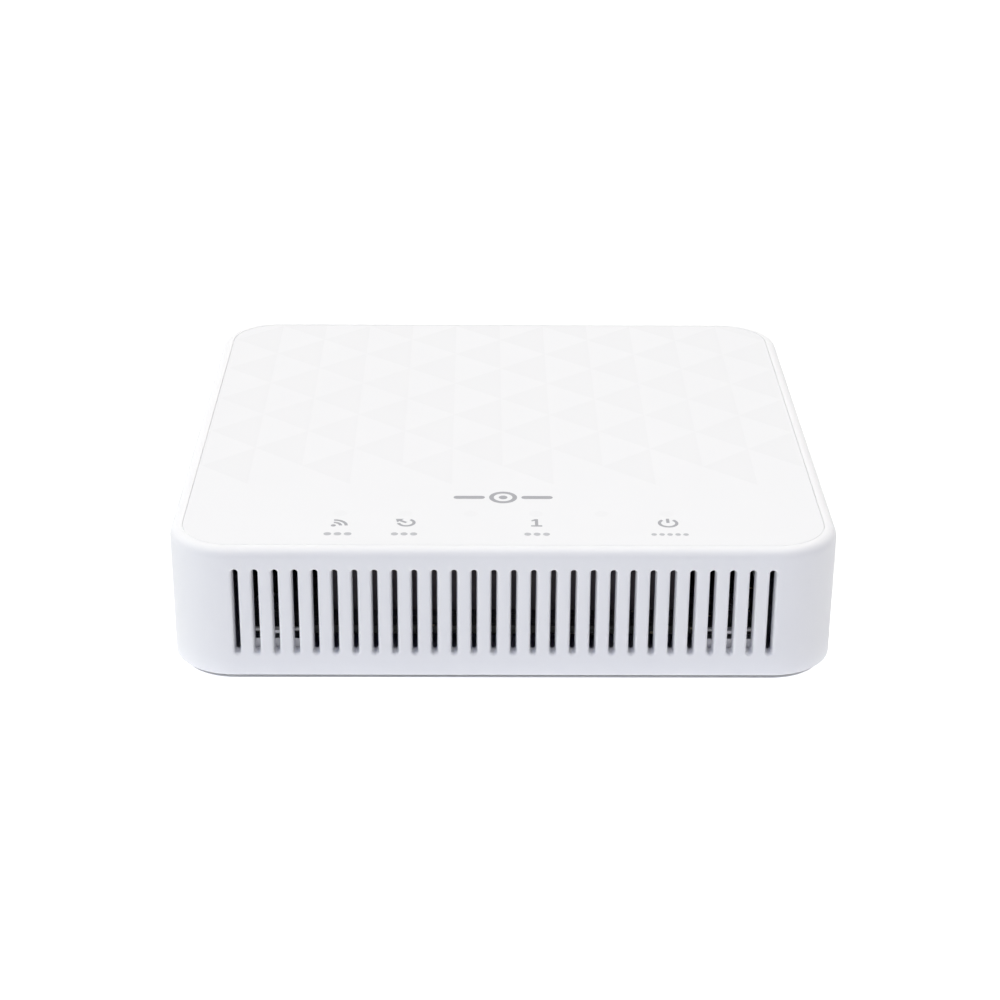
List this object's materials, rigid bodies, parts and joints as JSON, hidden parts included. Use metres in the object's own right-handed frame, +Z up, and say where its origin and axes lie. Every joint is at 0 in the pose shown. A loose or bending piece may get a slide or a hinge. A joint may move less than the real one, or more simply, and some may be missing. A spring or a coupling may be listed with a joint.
{
  "type": "optical network terminal",
  "caption": "Low white desktop optical network terminal: rounded square case with a vented front wall, inset faceted top panel, and rear fibre port, LAN socket, DC inlet, button and reset hole.",
  "frame": {"origin": "on the surface the feet stand on, under the middle of the bounding box", "axes": "+Z up through the top panel, -Y towards the vented front wall, +Y towards the ports"},
  "size_m": [0.12, 0.1194, 0.026],
  "materials": {
    "housing_white": "fine satin moulded plastic",
    "panel_white": "satin plastic with very shallow facets",
    "foot_rubber": "matt",
    "screw_steel": "zinc plated",
    "label_paper": "blank satin label",
    "board_green": "solder mask on glass epoxy",
    "chip_black": "moulded epoxy",
    "pad_grey": "soft matt pad",
    "heatsink_aluminium": "clear anodised",
    "plastic_black": "moulded",
    "plastic_white": "moulded",
    "can_metal": "nickel plated",
    "ferrite": "pressed ferrite, matt",
    "capacitor_sleeve": "bare can",
    "passive_ceramic": "fired",
    "clear_plastic": "clear moulded light pipe",
    "shield_steel": "tinned sheet",
    "contact_gold": "gold plated",
    "contact_plated": "nickel plated",
    "button_grey": "moulded, satin gloss",
    "optical_green": "moulded",
    "door_green": "moulded",
    "zirconia": "polished",
    "fibre_yellow": "soft jacket",
    "led_package": "moulded package"
  },
  "bodies": {
    "case": {"upper_housing": "housing_white", "top_panel": "panel_white", "bottom_cover": "housing_white", "foot_front_left": "foot_rubber", "foot_front_right": "foot_rubber", "foot_rear_left": "foot_rubber", "foot_rear_right": "foot_rubber", "case_screws": "screw_steel", "rating_label": "label_paper", "main_board": "board_green", "board_screws": "screw_steel", "network_processor": "chip_black", "thermal_pad": "pad_grey", "heatsink": "heatsink_aluminium", "heatsink_pins": "plastic_black", "memory_chip": "chip_black", "flash_chip": "chip_black", "clock_crystal": "can_metal", "line_transformer": "chip_black", "power_regulator": "chip_black", "power_inductor": "ferrite", "input_capacitor": "capacitor_sleeve", "output_capacitor": "capacitor_sleeve", "small_passives": "passive_ceramic", "light_guide": "clear_plastic", "light_shade": "plastic_black", "lan_jack_housing": "plastic_black", "lan_jack_shield": "shield_steel", "lan_jack_contacts": "contact_gold", "dc_jack_body": "plastic_black", "dc_jack_pin": "contact_plated", "dc_jack_spring": "contact_plated", "power_switch_body": "plastic_black", "reset_switch_body": "plastic_black", "optical_adapter": "optical_green", "alignment_sleeve": "zirconia", "fibre_ferrule": "zirconia", "dust_door_pin": "screw_steel", "transceiver_block": "can_metal", "laser_can": "can_metal", "photodiode_can": "can_metal", "fibre_pigtail": "fibre_yellow", "optical_shield": "shield_steel", "status_led_1": "led_package", "status_led_2": "led_package", "status_led_3": "led_package", "status_led_4": "led_package", "status_led_5": "led_package", "status_led_6": "led_package"},
    "power_push": {"power_button": "button_grey", "power_switch_plunger": "plastic_white"},
    "reset_push": {"reset_switch_plunger": "plastic_white"},
    "port_door": {"dust_door": "door_green"}
  },
  "joints": [
    {"name": "power_button_press", "type": "slide", "parent": "case", "child": "power_push", "axis": [0, -1, 0], "range_m": [0, 0.0025], "stiffness_N_per_m": 800, "springref_m": -0.0008},
    {"name": "reset_press", "type": "slide", "parent": "case", "child": "reset_push", "axis": [0, -1, 0], "range_m": [0, 0.00025], "stiffness_N_per_m": 4000, "springref_m": -0.0001},
    {"name": "dust_door_hinge", "type": "hinge", "parent": "case", "child": "port_door", "pos_m": [-0.028, 0.0566, 0.018], "axis": [1, 0, 0], "range_deg": [0, 95]}
  ]
}
